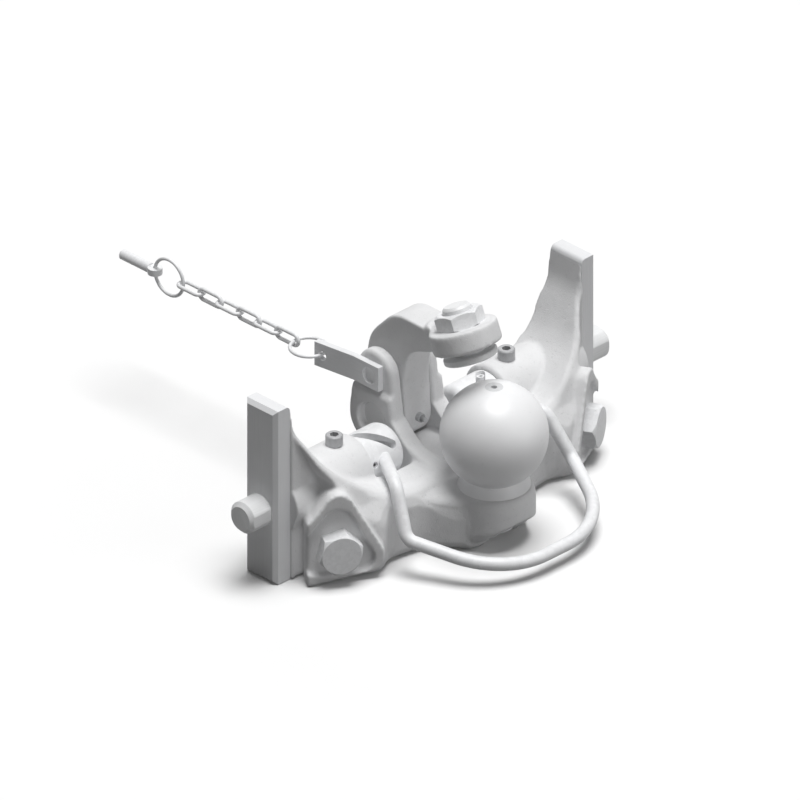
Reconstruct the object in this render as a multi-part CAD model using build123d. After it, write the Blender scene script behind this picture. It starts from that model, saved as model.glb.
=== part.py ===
from build123d import *
import os
from math import cos, radians, sin

# Tractor ball hitch on a ladder-frame carrier, in millimetres.
# The origin is on the axis of the two locking pins, midway between the guide bars.
# +X runs to the right-hand bar, the ball is towards -Y, and +Z is up.

# Guide bars, which run in the ladder frame
FRAME_WIDTH = 330.0
BAR_THICK = 15.0
BAR_DEPTH = 32.0
BAR_BELOW = 58.0
BAR_ABOVE = 87.0
BAR_CHAMFER = 3.0

# Ball with its flared foot and pressed shank
BALL_D = 80.0
BALL_FORWARD = 76.0
BALL_UP = 27.0
FOOT_D = 54.0
FOOT_TOP_D = 42.0
FOOT_HEIGHT = 10.0
FOOT_ROOM = 1.0
SHANK_D = 30.0
SHANK_END_DEPTH = 2.0
PLUG_D = 13.5
PLUG_SOCKET_D = 4.5
PLUG_DEPTH = 6.0
PLUG_SUNK = 0.6

# Locking pins, cam hubs and the screws between them
PIN_D = 26.0
PIN_END_D = 25.0
PIN_FLAT = 0.7
PIN_REACH = 20.0
PIN_TRAVEL = 20.0
PIN_CHAMFER = 3.0
PIN_END_PLAY = 1.0
RUNNING = 0.05
BOSS_D = 48.0
HUB_D = 40.0
HUB_INNER_X = 34.0
HUB_OUTER_X = 69.0
HUB_END_WALL = 4.0
HUB_END_R = 6.0
HUB_GAP = 0.4
HUB_ROOM = 2.5
CAM_SCREW_D = 6.0
CAM_SLOT_PLAY = 0.5
CAM_X = 64.5
CAM_ANGLE = 98.0
CAM_SCREW_SUNK = 2.5
GRUB_D = 5.0
GRUB_LENGTH = 5.5
GRUB_X = 65.5
GRUB_ANGLE = 13.0
GROOVE_W = 6.5
GROOVE_DEPTH = 3.0
GUIDE_X = 88.5
GUIDE_SCREW_D = 6.0
GUIDE_HEAD_D = 13.0
GUIDE_HEAD_H = 8.0
GUIDE_TIP_GAP = 0.5

# Lifting handle, one round bar bent in three dimensions
ROD_D = 10.0
ROD_ROOT = (54.0, -16.3, 5.0)
ROD_ELBOW = (76.5, -51.5, 5.5)
ROD_KNEE = (85.0, -71.0, -29.3)
ROD_CORNER = (52.0, -139.5, -44.0)
ROD_ELBOW_R = 11.0
ROD_KNEE_R = 11.0
ROD_CORNER_R = 65.0
HANDLE_LIFT_DEG = 60.0

# Carrier casting
BODY_REAR = 16.0
BEAM_TOP = -6.0
NOSE_D = 61.0
NOSE_TOP = -14.0
NOSE_BOTTOM = -50.0
NOSE_EDGE_R = 4.0
HEEL_REAR = 36.0
WEB_FRONT = -18.0
PAD_EDGE_Y = -34.0
PAD_ANGLE = 30.0
PAD_INSET = 2.6
PAD_WIDTH = 64.0
PAD_THICK = 22.0
PAD_PROUD = 6.0
PAD_PEAK = 25.0
PAD_CORNER_R = 11.0
POCKET_DEPTH = 4.0
POCKET_CORNER_R = 13.0
BOLT_ALONG = 24.0
BOLT_Z = -31.0
BOLT_AF = 30.0
BOLT_HEAD_H = 12.0
BOLT_D = 20.0
BOLT_LENGTH = 30.0
BOLT_TURN = 12.0

# Clevis ears, pivot and hold-down lever
EAR_INNER = 14.0
EAR_OUTER = 28.0
EAR_LOW_R = 23.0
EAR_TOP_R = 18.0
EAR_STEP = 3.5
EAR_STEP_Z = 34.0
PIVOT_Y = 23.6
PIVOT_Z = 10.0
PIVOT_D = 24.0
PIVOT_SINK_D = 27.0
PIVOT_SINK = 5.6
LEVER_SIDE_GAP = 0.5
LEVER_HUB_D = 44.0
LEVER_HUB_ROOM = 1.8
SPINDLE_TILT = 23.0
SPINDLE_D = 24.0
EYE_D = 52.0
EYE_THICK = 13.0
EYE_ABOVE_BALL = 28.0
NUT_AF = 36.0
NUT_H = 12.0
NUT_ROOM = 2.5
SPINDLE_PROUD = 8.0
PRESS_D = 46.0
PRESS_H = 6.0
PRESS_GAP = 3.6
STUB_H = 10.4
NIPPLE_D = 7.0
NIPPLE_H = 7.0

# Lock pin, its flag plate, and the chain
LOCK_Y = 23.6
LOCK_Z = 47.5
LOCK_D = 13.0
LOCK_TIP_GAP = 0.3
LOCK_SUNK = 3.0
FLAG_THICK = 5.0
FLAG_HEIGHT = 20.0
FLAG_FRONT = 13.6
FLAG_BEND = 39.6
FLAG_TAIL = 36.0
FLAG_SPLAY = 8.0
TAB_HOLE_D = 7.4
TAB_HOLE_BACK = 7.0
RING_WIRE = 2.6
RING_PLAY = 1.0
NEAR_RING_R = 14.0
FAR_RING_R = 14.5
LINK_WIRE = 3.0
LINK_INNER = 20.0
LINK_SPACING = 8.6
LINK_COUNT = 6
LINK_PLAY = 0.3
LINCH_EYE_D = 11.0
LINCH_EYE_H = 5.0
LINCH_D = 8.0
LINCH_LENGTH = 30.0
LINCH_PLAY = 0.5

# Places that follow from the sizes above
BAR_X = FRAME_WIDTH / 2 - BAR_THICK
FLOOR_Z = -BAR_BELOW
BODY_TOP = BAR_ABOVE - 1
EYE_LOW = BALL_D / 2 + EYE_ABOVE_BALL
EYE_HIGH = EYE_LOW + EYE_THICK
FLAG_X = EAR_OUTER - EAR_STEP
UP = (Align.CENTER, Align.CENTER, Align.MIN)
DOWN = (Align.CENTER, Align.CENTER, Align.MAX)

os.makedirs("parts", exist_ok=True)


def save(shape, node):
    export_step(shape, "parts/" + node + ".step")


def mirrored(shape):
    return mirror(shape, about=Plane.YZ)


def on_both_sides(shape):
    return shape + mirrored(shape)


def cylinder_x(diameter, x0, x1, y=0.0, z=0.0):
    return Pos((x0 + x1) / 2, y, z) * Rot(0, 90, 0) * Cylinder(diameter / 2, abs(x1 - x0))


def outline(corners):
    # A closed flat shape from corners given as across, up and rounding radius.
    points = [(u, v) for u, v, r in corners]
    radii = [r for u, v, r in corners]
    return make_face(FilletPolyline(*points, radius=radii, close=True))


def symmetric(half):
    return half + [(-u, v, r) for u, v, r in reversed(half)]


def hexagon(across_flats, height):
    # A bolt head or nut blank whose top corners are turned away at 30 degrees.
    corner = across_flats / 2 / cos(radians(30))
    drop = (corner - across_flats / 2 * 0.95) * 0.577
    blank = extrude(RegularPolygon(across_flats / 2, 6, major_radius=False), height)
    turned = Cylinder(corner, height - drop, align=UP)
    turned += Pos(0, 0, height - drop) * Cone(corner, across_flats / 2 * 0.95, drop, align=UP)
    return blank & turned


# Guide bar: a flat bar with its outer edges broken and a hole for the locking pin.
def guide_bar():
    height = BAR_ABOVE + BAR_BELOW
    centre = Pos(BAR_X + BAR_THICK / 2, 0, FLOOR_Z + height / 2)
    bar = centre * Box(BAR_THICK, BAR_DEPTH, height)
    bar = chamfer(bar.faces().sort_by(Axis.X)[-1].edges(), BAR_CHAMFER)
    return bar - cylinder_x(PIN_D + 2 * RUNNING, BAR_X - 1, BAR_X + BAR_THICK + 1)


def pad_plane():
    # The right-hand pad: across runs from its outer edge inwards as minus, up is +Z.
    turn = radians(PAD_ANGLE)
    return Plane(
        origin=(BAR_X, PAD_EDGE_Y, 0),
        x_dir=(cos(turn), sin(turn), 0),
        z_dir=(sin(turn), -cos(turn), 0),
    )


def body_core():
    # Three views of the casting, each drawn as an outline, and what they share.
    turn = radians(PAD_ANGLE)
    behind = pad_plane().origin - pad_plane().z_dir * PAD_PROUD
    pad_x = behind.X - (PAD_WIDTH - 4) * cos(turn)
    pad_y = behind.Y - (PAD_WIDTH - 4) * sin(turn)
    plan = [(BAR_X, BODY_REAR, 0), (BAR_X, behind.Y + 3, 0), (pad_x, pad_y, 8)]
    plan += [(pad_x - 12, pad_y + 8, 10), (52, -56, 20), (27, -84, 0)]
    front = [(BAR_X, FLOOR_Z, 0), (BAR_X, BODY_TOP, 0), (BAR_X - 4, 64, 40), (BAR_X - 23, 31, 60)]
    front += [(BAR_X - 58, 2, 60), (50, BEAM_TOP, 40)]
    side = [(BODY_REAR, FLOOR_Z, 0), (BODY_REAR, BODY_TOP, 0), (-BAR_DEPTH / 2, BODY_TOP, 6)]
    side += [(-17, 62, 30), (-42, 14, 20), (-47, -2, 10), (-58, -20, 12), (-86, -34, 8), (-86, FLOOR_Z, 0)]
    seen_from_above = extrude(outline(symmetric(plan)), 200, both=True)
    seen_from_front = extrude(Plane.XZ * outline(symmetric(front)), 200, both=True)
    seen_from_side = extrude(Plane.YZ * outline(side), 200, both=True)
    return seen_from_above & seen_from_front & seen_from_side


def arm_recess():
    # Leaves a thin web beside the guide bar, with the ridge of the arm round it.
    edge = [(BAR_X + 1, FLOOR_Z, 0), (BAR_X + 1, 66, 0), (BAR_X - 7, 50, 12), (BAR_X - 16, 31, 14)]
    edge += [(BAR_X - 24, 20, 6), (BAR_X - 22, FLOOR_Z, 0)]
    return Pos(0, WEB_FRONT, 0) * extrude(Plane.XZ * outline(edge), BALL_FORWARD)


def nose():
    # Round seat of the ball, with webs that run back into the beam.
    drum = Pos(0, -BALL_FORWARD, NOSE_BOTTOM) * Cylinder(NOSE_D / 2, NOSE_TOP - NOSE_BOTTOM, align=UP)
    drum = fillet(drum.edges().filter_by(GeomType.CIRCLE), NOSE_EDGE_R)
    root = outline(symmetric([(54, -40, 0), (54, -52, 14), (28, -80, 10)]))
    return drum + Pos(0, 0, NOSE_BOTTOM) * extrude(root, NOSE_TOP - NOSE_BOTTOM - 1)


def ear():
    low = Pos(PIVOT_Y, PIVOT_Z) * Circle(EAR_LOW_R)
    top = Pos(LOCK_Y, LOCK_Z) * Circle(EAR_TOP_R)
    front = LOCK_Y - EAR_TOP_R
    root = [(front, LOCK_Z, 0), (front, 20, 22), (-14, 1, 22), (-47, BEAM_TOP, 0), (-47, FLOOR_Z, 0)]
    root += [(HEEL_REAR, FLOOR_Z, 0), (HEEL_REAR, PIVOT_Z, 0)]
    side = make_hull([*low.edges(), *top.edges()]) + outline(root)
    plate = Pos(EAR_INNER, 0, 0) * extrude(Plane.YZ * side, EAR_OUTER - EAR_INNER)
    step = Pos(FLAG_X, LOCK_Y, EAR_STEP_Z) * Box(EAR_OUTER, 4 * EAR_TOP_R, 4 * EAR_TOP_R, align=(
        Align.MIN, Align.CENTER, Align.MIN
    ))
    bore = cylinder_x(PIVOT_D, EAR_INNER - 1, EAR_OUTER + 1, PIVOT_Y, PIVOT_Z)
    sink = cylinder_x(PIVOT_SINK_D, EAR_OUTER - PIVOT_SINK, EAR_OUTER + 1, PIVOT_Y, PIVOT_Z)
    lock = cylinder_x(LOCK_D + 2 * RUNNING, EAR_INNER - 1, EAR_OUTER + 1, LOCK_Y, LOCK_Z)
    return plate - step - bore - sink - lock


def heel():
    # Solid web between the ears, below the hub of the lever.
    low = PIVOT_Z - LEVER_HUB_D / 2
    length = HEEL_REAR + 47
    return Pos(0, HEEL_REAR - length / 2, FLOOR_Z) * Box(2 * EAR_INNER, length, low - FLOOR_Z, align=UP)


def front_pad():
    # A rounded triangle that stands proud of the casting, with its foot rising a little inwards.
    corners = [(-PAD_INSET, FLOOR_Z, 0), (-PAD_INSET, -4.5, 8), (-BOLT_ALONG - 1.6, PAD_PEAK, PAD_CORNER_R)]
    corners += [(-PAD_WIDTH - 2.9, -50.3, 12)]
    return extrude(pad_plane() * outline(corners), -PAD_THICK)


def pad_pocket():
    # Round the bolt's head, open towards the guide bar.
    corners = [(2, -49, 12), (2, -24, 12), (-BOLT_ALONG, PAD_PEAK - 9, POCKET_CORNER_R)]
    corners += [(6.5 - PAD_WIDTH, -51, 10)]
    return extrude(pad_plane() * outline(corners), POCKET_DEPTH, both=True)


def bolt_place():
    return pad_plane() * Pos(-BOLT_ALONG, BOLT_Z, -POCKET_DEPTH)


def carrier_body():
    boss = cylinder_x(BOSS_D, HUB_OUTER_X + HUB_GAP, BAR_X)
    body = body_core() - on_both_sides(arm_recess()) + nose() + heel()
    body += on_both_sides(boss + ear() + front_pad())
    scoop = cylinder_x(HUB_D + 2 * HUB_ROOM, EAR_OUTER, HUB_OUTER_X + HUB_GAP)
    bore = cylinder_x(PIN_D + 2 * RUNNING, HUB_OUTER_X - 5, BAR_X + 1)
    bolt_hole = bolt_place() * Cylinder(BOLT_D / 2, BOLT_LENGTH, align=DOWN)
    guide_hole = Pos(GUIDE_X, 0, 0) * Cylinder(GUIDE_SCREW_D / 2, BOSS_D, align=UP)
    body -= on_both_sides(scoop + bore + pad_pocket() + bolt_hole + guide_hole)
    slot = Pos(0, 20, BEAM_TOP) * Box(2 * EAR_INNER, 80, 100, align=UP)
    hub_room = cylinder_x(LEVER_HUB_D + 2 * LEVER_HUB_ROOM, -EAR_INNER, EAR_INNER, PIVOT_Y, PIVOT_Z)
    shank_bore = Pos(0, -BALL_FORWARD, FLOOR_Z) * Cylinder(SHANK_D / 2, BAR_BELOW, align=UP)
    foot_seat = Pos(0, -BALL_FORWARD, NOSE_TOP) * Cylinder(FOOT_D / 2 + FOOT_ROOM, BAR_BELOW, align=UP)
    return body - slot - hub_room - shank_bore - foot_seat


# Hexagon bolt that seats on the floor of the pad's pocket.
def front_bolt():
    shank = Cylinder(BOLT_D / 2, BOLT_LENGTH - 2, align=DOWN)
    return bolt_place() * Rot(0, 0, BOLT_TURN) * (hexagon(BOLT_AF, BOLT_HEAD_H) + shank)


# Cap screw on top of the boss, with its tip in the long groove of the pin.
def guide_screw():
    seat = BOSS_D / 2
    tip = PIN_D / 2 - GROOVE_DEPTH + GUIDE_TIP_GAP
    head = chamfer(Cylinder(GUIDE_HEAD_D / 2, GUIDE_HEAD_H, align=UP).edges().group_by(Axis.Z)[-1], 0.8)
    head -= Pos(0, 0, GUIDE_HEAD_H / 2) * extrude(RegularPolygon(3, 6, major_radius=False), GUIDE_HEAD_H)
    return Pos(GUIDE_X, 0, seat) * (head + Cylinder(GUIDE_SCREW_D / 2, seat - tip, align=DOWN))


def around_pin(x, angle):
    # A plane on the pin axis that looks outwards, at an angle from straight ahead towards the top.
    outwards = (0, -cos(radians(angle)), sin(radians(angle)))
    return Plane(origin=(x, 0, 0), x_dir=(1, 0, 0), z_dir=outwards)


# Locking pin: round bar with a guide groove on top and the hole for the cam screw.
# Its free end is turned down for the ladder frame's hole and has a flat towards the front.
def locking_pin():
    inner = HUB_INNER_X + HUB_END_WALL + PIN_TRAVEL + PIN_END_PLAY
    shoulder = BAR_X + BAR_THICK
    pin = cylinder_x(PIN_D, inner, shoulder)
    free = cylinder_x(PIN_END_D, shoulder, shoulder + PIN_REACH)
    free = chamfer(free.edges().filter_by(GeomType.CIRCLE).sort_by(Axis.X)[-1], PIN_CHAMFER)
    free -= Pos(shoulder, PIN_FLAT - PIN_END_D / 2, 0) * Box(2 * PIN_REACH + 2, PIN_D, PIN_D, align=(
        Align.CENTER, Align.MAX, Align.CENTER
    ))
    reach = (GUIDE_SCREW_D / 2 + 1, PIN_TRAVEL + GUIDE_SCREW_D / 2 + 1)
    groove = Pos(GUIDE_X + (reach[1] - reach[0]) / 2, 0, PIN_D / 2 - GROOVE_DEPTH) * Box(
        sum(reach), GROOVE_W, 2 * GROOVE_DEPTH, align=UP
    )
    hole = around_pin(CAM_X, CAM_ANGLE) * Cylinder(CAM_SCREW_D / 2, PIN_D, align=UP)
    return pin + free - groove - hole


# Cam screw: stands out of the pin and rides in the slot of the hub.
def cam_screw():
    stem = Cylinder(CAM_SCREW_D / 2, HUB_D / 2 - CAM_SCREW_SUNK, align=UP)
    socket = Pos(0, 0, PIN_D / 2 + 1) * extrude(RegularPolygon(1.5, 6, major_radius=False), HUB_D)
    return around_pin(CAM_X, CAM_ANGLE) * (stem - socket)


def cam_slot():
    # The screw's path through the hub wall as the handle lifts: a helical groove with round ends.
    width = CAM_SCREW_D + 2 * CAM_SLOT_PLAY
    lifted = around_pin(CAM_X - PIN_TRAVEL, CAM_ANGLE - HANDLE_LIFT_DEG)
    base = Plane(origin=lifted.origin, x_dir=lifted.z_dir, z_dir=(1, 0, 0))
    pitch = PIN_TRAVEL * 360 / HANDLE_LIFT_DEG
    path = base * Helix(pitch=pitch, height=PIN_TRAVEL, radius=(HUB_D + PIN_D) / 4, lefthand=True)
    section = Plane(origin=path @ 0, x_dir=lifted.z_dir, z_dir=path % 0) * Rectangle(HUB_D - PIN_D, width)
    round_end = Cylinder(width / 2, HUB_D, align=UP)
    groove = sweep(section, path=path, is_frenet=True)
    return [groove, lifted * round_end, around_pin(CAM_X, CAM_ANGLE) * round_end]


def grub_place():
    return around_pin(GRUB_X, GRUB_ANGLE) * Pos(0, 0, HUB_D / 2 - GRUB_LENGTH - 1)


# Cam hub: a sleeve closed at its inner end, with one helical slot through its wall.
def cam_hub():
    hub = cylinder_x(HUB_D, HUB_INNER_X, HUB_OUTER_X)
    hub = fillet(hub.edges().filter_by(GeomType.CIRCLE).sort_by(Axis.X)[0], HUB_END_R)
    hub -= cylinder_x(PIN_D + 2 * RUNNING, HUB_INNER_X + HUB_END_WALL, HUB_OUTER_X + 1)
    for piece in cam_slot():
        hub -= piece
    return hub - grub_place() * Cylinder(GRUB_D / 2, HUB_D, align=UP)


def hub_screw():
    socket = Pos(0, 0, GRUB_LENGTH - 2) * extrude(RegularPolygon(1.25, 6, major_radius=False), GRUB_LENGTH)
    return grub_place() * (Cylinder(GRUB_D / 2, GRUB_LENGTH, align=UP) - socket)


# Lifting handle: one bar from hub to hub, bent down beside the ball and round in front of it.
def lift_handle():
    half = [ROD_ROOT, ROD_ELBOW, ROD_KNEE, ROD_CORNER]
    bends = [ROD_ELBOW_R, ROD_KNEE_R, ROD_CORNER_R]
    points = half + [(-x, y, z) for x, y, z in reversed(half)]
    path = FilletPolyline(*points, radius=bends + bends[::-1])
    heading = Vector(*ROD_ELBOW) - Vector(*ROD_ROOT)
    bar = sweep(Plane(origin=ROD_ROOT, z_dir=heading) * Circle(ROD_D / 2), path=path)
    return bar - cylinder_x(HUB_D, -HUB_OUTER_X, HUB_OUTER_X)


# Ball: the sphere, the flared foot on the nose and the shank pressed into the casting.
def ball():
    foot = Pos(0, 0, NOSE_TOP) * Cone(FOOT_D / 2, FOOT_TOP_D / 2, FOOT_HEIGHT, align=UP)
    shank = Pos(0, 0, NOSE_TOP) * Cylinder(SHANK_D / 2, NOSE_TOP - NOSE_BOTTOM - SHANK_END_DEPTH, align=DOWN)
    seat = Pos(0, 0, BALL_UP + BALL_D / 2) * Cylinder(PLUG_D / 2, PLUG_DEPTH, align=DOWN)
    whole = Pos(0, 0, BALL_UP) * Sphere(BALL_D / 2) + foot + shank - seat
    return Pos(0, -BALL_FORWARD, 0) * whole


def ball_plug():
    plug = Cylinder(PLUG_D / 2, PLUG_DEPTH - PLUG_SUNK, align=UP)
    plug -= Pos(0, 0, 1) * Cylinder(PLUG_SOCKET_D / 2, PLUG_DEPTH, align=UP)
    return Pos(0, -BALL_FORWARD, BALL_UP + BALL_D / 2 - PLUG_DEPTH) * plug


def spindle_axis():
    # From the centre of the ball up and back; every height along it is measured from there.
    tilt = radians(SPINDLE_TILT)
    return Plane(origin=(0, -BALL_FORWARD, BALL_UP), x_dir=(1, 0, 0), z_dir=(0, sin(tilt), cos(tilt)))


# Hold-down lever: hub between the ears, a hooked arm, and the eye that carries the spindle.
def hold_down_lever():
    half = EAR_INNER - LEVER_SIDE_GAP
    hub_r = LEVER_HUB_D / 2
    arm = [(PIVOT_Y, PIVOT_Z, 0), (PIVOT_Y + hub_r - 0.3, PIVOT_Z + 3, 0), (40, 70, 34), (14, 98, 26)]
    arm += [(-24, 97, 12), (-45, 102, 0), (-46, 92, 0), (-26, 80, 10), (1, 70, 22), (4, 42, 20)]
    arm += [(PIVOT_Y - hub_r + 0.3, PIVOT_Z + 3, 0)]
    lever = extrude(Plane.YZ * outline(arm), half, both=True)
    lever += cylinder_x(LEVER_HUB_D, -half, half, PIVOT_Y, PIVOT_Z)
    above = Pos(0, 0, EYE_HIGH) * Cylinder(EYE_D / 2 - NUT_ROOM, EYE_D, align=UP)
    below = Pos(0, 0, EYE_LOW) * Cylinder(EYE_D / 2, EYE_D / 2, align=DOWN)
    eye = Pos(0, 0, EYE_LOW) * Cylinder(EYE_D / 2, EYE_THICK, align=UP)
    thread = Pos(0, 0, EYE_LOW) * Cylinder(SPINDLE_D / 2, EYE_THICK, align=UP)
    lever = lever - spindle_axis() * (above + below) + spindle_axis() * eye - spindle_axis() * thread
    return lever - cylinder_x(PIVOT_D + 2 * RUNNING, -half - 1, half + 1, PIVOT_Y, PIVOT_Z)


# Spindle: threaded stud with a pressure plate and a stub that holds the coupling down.
def press_spindle():
    top = EYE_HIGH + NUT_H + SPINDLE_PROUD
    plate_top = EYE_LOW - PRESS_GAP
    stud = Pos(0, 0, plate_top) * Cylinder(SPINDLE_D / 2, top - plate_top, align=UP)
    stud = chamfer(stud.edges().group_by(Axis.Z)[-1], 1.5)
    plate = Pos(0, 0, plate_top) * Cylinder(PRESS_D / 2, PRESS_H, align=DOWN)
    plate = chamfer(plate.edges().filter_by(GeomType.CIRCLE), 1)
    stub = Pos(0, 0, plate_top - PRESS_H) * Cylinder(SPINDLE_D / 2, STUB_H, align=DOWN)
    return spindle_axis() * (stud + plate + stub)


def spindle_nut():
    nut = hexagon(NUT_AF, NUT_H) - Cylinder(SPINDLE_D / 2, NUT_H, align=UP)
    return spindle_axis() * Pos(0, 0, EYE_HIGH) * nut


def pivot_pin():
    end = EAR_OUTER - PIVOT_SINK
    pin = cylinder_x(PIVOT_D, -end, end, PIVOT_Y, PIVOT_Z)
    return chamfer(pin.edges().filter_by(GeomType.CIRCLE), 1)


def grease_nipple():
    neck = Cylinder(NIPPLE_D / 2, NIPPLE_H / 2 + 1, align=UP)
    tip = Pos(0, 0, NIPPLE_H / 2 + 1) * Cone(NIPPLE_D / 2 - 1, NIPPLE_D / 4, NIPPLE_H / 2, align=UP)
    nipple = Pos(0, PIVOT_Y - LEVER_HUB_D / 2 + 1, PIVOT_Z) * Rot(90, 0, 0) * (neck + tip)
    return nipple - cylinder_x(LEVER_HUB_D, -EAR_INNER, EAR_INNER, PIVOT_Y, PIVOT_Z)


def flag_tail_place():
    return Pos(-FLAG_X, FLAG_BEND, LOCK_Z) * Rot(0, 0, FLAG_SPLAY)


# Flag plate: flat on the ear round the lock pin, then splayed outwards to the chain.
def lock_flag():
    length = FLAG_BEND - FLAG_FRONT
    flat = Pos(-FLAG_X - FLAG_THICK / 2, FLAG_BEND - length / 2, LOCK_Z) * Box(FLAG_THICK, length, FLAG_HEIGHT)
    tail = Pos(-FLAG_THICK / 2, FLAG_TAIL / 2, 0) * Box(FLAG_THICK, FLAG_TAIL, FLAG_HEIGHT)
    tail -= cylinder_x(TAB_HOLE_D, -FLAG_THICK - 1, 1, FLAG_TAIL - TAB_HOLE_BACK)
    plate = flat + flag_tail_place() * tail
    return plate - cylinder_x(LOCK_D, -FLAG_X - FLAG_THICK - 1, -FLAG_X + 1, LOCK_Y, LOCK_Z)


def lock_pin():
    pin = cylinder_x(LOCK_D, LOCK_SUNK - FLAG_X - FLAG_THICK, -EAR_INNER - LOCK_TIP_GAP, LOCK_Y, LOCK_Z)
    return chamfer(pin.edges().filter_by(GeomType.CIRCLE).sort_by(Axis.X)[-1], 1)


TAB_HOLE = flag_tail_place() * Pos(-FLAG_THICK / 2, FLAG_TAIL - TAB_HOLE_BACK, 0)
CHAIN_X = TAB_HOLE.position.X
NEAR_RING_Y = TAB_HOLE.position.Y + (TAB_HOLE_D - RING_WIRE) / 2 - RING_PLAY + NEAR_RING_R
FIRST_LINK_Y = NEAR_RING_Y + NEAR_RING_R - (RING_WIRE + LINK_WIRE) / 2 - LINK_PLAY
LINK_PITCH = LINK_INNER - LINK_PLAY
CHAIN_END_Y = FIRST_LINK_Y + LINK_PITCH * (LINK_COUNT - 1) + LINK_INNER + LINK_WIRE
FAR_RING_Y = CHAIN_END_Y - (RING_WIRE + LINK_WIRE) / 2 - LINK_PLAY + FAR_RING_R


def near_ring():
    return Pos(CHAIN_X, NEAR_RING_Y, LOCK_Z) * Torus(NEAR_RING_R, RING_WIRE / 2)


def link_path():
    # Centre line of one link lying flat, with the middle of its near end at the origin.
    bend = LINK_SPACING / 2
    straight = LINK_INNER + LINK_WIRE - 2 * bend
    return Pos(0, bend + straight / 2) * Rot(0, 0, 90) * SlotCenterToCenter(straight, LINK_SPACING)


# Chain link: round wire along a long loop; every second link stands upright.
def chain_link(index):
    loop = link_path().wires()[0]
    start = loop @ 0
    section = Plane(origin=start, z_dir=loop % 0) * Circle(LINK_WIRE / 2)
    link = sweep(section, path=loop)
    upright = 90 * ((index + 1) % 2)
    return Pos(CHAIN_X, FIRST_LINK_Y + index * LINK_PITCH, LOCK_Z) * Rot(0, upright, 0) * link


def far_ring():
    return Pos(CHAIN_X, FAR_RING_Y, LOCK_Z) * Rot(0, 90, 0) * Torus(FAR_RING_R, RING_WIRE / 2)


# Linch pin at the free end: a flat eye on the ring and a plain round shank.
def linch_pin():
    eye = Cylinder(LINCH_EYE_D / 2, LINCH_EYE_H)
    shank = Pos(0, LINCH_EYE_D / 2 - 1, 0) * Rot(-90, 0, 0) * Cylinder(LINCH_D / 2, LINCH_LENGTH, align=UP)
    shank = chamfer(shank.edges().filter_by(GeomType.CIRCLE).sort_by(Axis.Y)[-1], 1.5)
    hole = Cylinder(RING_WIRE / 2 + LINCH_PLAY, LINCH_D + 2)
    return Pos(CHAIN_X, FAR_RING_Y + FAR_RING_R, LOCK_Z) * (eye + shank - hole)


PAIRS = {
    "guide_bar": guide_bar(),
    "locking_pin": locking_pin(),
    "cam_hub": cam_hub(),
    "cam_screw": cam_screw(),
    "hub_screw": hub_screw(),
    "guide_screw": guide_screw(),
    "front_bolt": front_bolt(),
}
for name, shape in PAIRS.items():
    save(shape, "right_" + name)
    save(mirrored(shape), "left_" + name)

SINGLES = {
    "carrier_body": carrier_body(),
    "lift_handle": lift_handle(),
    "ball": ball(),
    "ball_plug": ball_plug(),
    "hold_down_lever": hold_down_lever(),
    "press_spindle": press_spindle(),
    "spindle_nut": spindle_nut(),
    "pivot_pin": pivot_pin(),
    "grease_nipple": grease_nipple(),
    "lock_flag": lock_flag(),
    "lock_pin": lock_pin(),
    "near_ring": near_ring(),
    "far_ring": far_ring(),
    "linch_pin": linch_pin(),
}
for name, shape in SINGLES.items():
    save(shape, name)

for index in range(LINK_COUNT):
    save(chain_link(index), "chain_link_" + str(index + 1))
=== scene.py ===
from math import cos, pi, radians, sin

import bmesh
import bpy
import numpy as np
from mathutils import Matrix, Vector
from mathutils.bvhtree import BVHTree


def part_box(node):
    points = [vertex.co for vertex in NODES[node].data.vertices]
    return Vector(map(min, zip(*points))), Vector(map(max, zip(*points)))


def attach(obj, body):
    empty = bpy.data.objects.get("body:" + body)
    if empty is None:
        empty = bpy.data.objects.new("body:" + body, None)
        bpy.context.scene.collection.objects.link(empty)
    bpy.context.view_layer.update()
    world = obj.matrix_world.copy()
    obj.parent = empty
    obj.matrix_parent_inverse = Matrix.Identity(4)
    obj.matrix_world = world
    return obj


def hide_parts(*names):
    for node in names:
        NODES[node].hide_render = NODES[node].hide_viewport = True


bl_info = {
    "name": "Ball hitch carrier",
    "version": (1, 0, 0),
    "blender": (4, 5, 0),
    "location": "View3D > Sidebar > Hitch",
    "description": "Dresses the packed ball hitch carrier with rounded castings, steel finishes and a studio",
    "category": "Object",
}

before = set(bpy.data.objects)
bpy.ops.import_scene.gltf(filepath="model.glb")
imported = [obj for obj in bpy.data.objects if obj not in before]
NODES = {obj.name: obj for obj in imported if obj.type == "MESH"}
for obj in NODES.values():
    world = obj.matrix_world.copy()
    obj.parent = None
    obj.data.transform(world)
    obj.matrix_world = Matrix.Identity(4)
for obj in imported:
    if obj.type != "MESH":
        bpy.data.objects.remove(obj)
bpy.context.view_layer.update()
BALL_LOW, BALL_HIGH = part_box("ball")
FLOOR_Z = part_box("carrier_body")[0][2]
FLOOR_GAP = 0.0005
FLOOR_REACH = 3.0
FLOOR_BOUNCE = 0.12

WELD_GAP = 0.000002
FLAT_ANGLE = radians(0.6)
SHARP_ANGLE = radians(28.0)
RING_STEPS = 96
LAST_PASSES = 2
LEVER_CELL_SHARE = 0.85

PAD_TURN = radians(30.0)
PAD_CORNER_X = 0.150
PAD_CORNER_Y = -0.034
PAD_SHIFT = 0.0026
NOSE_SLOPE = 0.90
NOSE_SLOPE_START = -0.081
NOSE_SLOPE_LOW = -0.0560
BEAM_FRONT_Y = -0.040
BEAM_SIDE_X = 0.100
BAR_SIDE_X = 0.1475
BAR_TOP_ROUNDING = 0.004

BOLT_Z = -0.031
BOLT_INSET = 0.024
BOLT_SINK = 0.004
BOLT_LIE = radians(14.6)
BOLT_HEAD = 0.012
BOLT_SLOPE = 1.15
SHANK_REACH = 0.010
SHANK_LENGTH = 0.028
SHANK_CHAMFER = 0.001

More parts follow.
